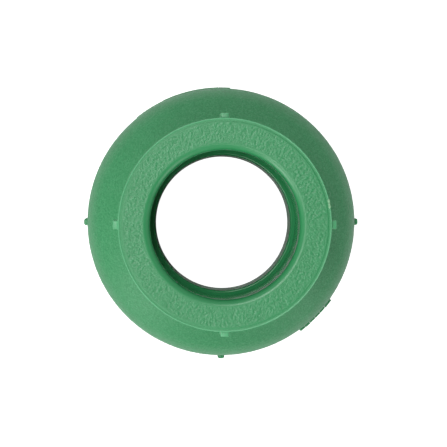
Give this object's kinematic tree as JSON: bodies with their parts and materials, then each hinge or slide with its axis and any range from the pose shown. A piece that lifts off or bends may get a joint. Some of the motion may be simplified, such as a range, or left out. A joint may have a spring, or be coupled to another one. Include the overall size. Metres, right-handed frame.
{
  "type": "pipe reducer",
  "caption": "Round socket-fusion pipe reducer: a wide plastic socket below a rounded shoulder and a narrower socket, open from end to end.",
  "frame": {"origin": "centre of the large socket's end face, on the fitting's axis", "axes": "+Z along the axis, out of the small socket; +X through one alignment mark of each socket"},
  "size_m": [0.0466, 0.0462, 0.0395],
  "materials": {
    "green_pp": "fine-grained outside, smooth satin inside"
  },
  "bodies": {
    "root": {"small_socket": "green_pp", "stop_ring": "green_pp", "shoulder": "green_pp", "large_socket": "green_pp", "small_end_alignment_marks": "green_pp", "large_end_alignment_marks": "green_pp", "marking_blocks": "green_pp", "gate_vestige": "green_pp"}
  },
  "joints": []
}
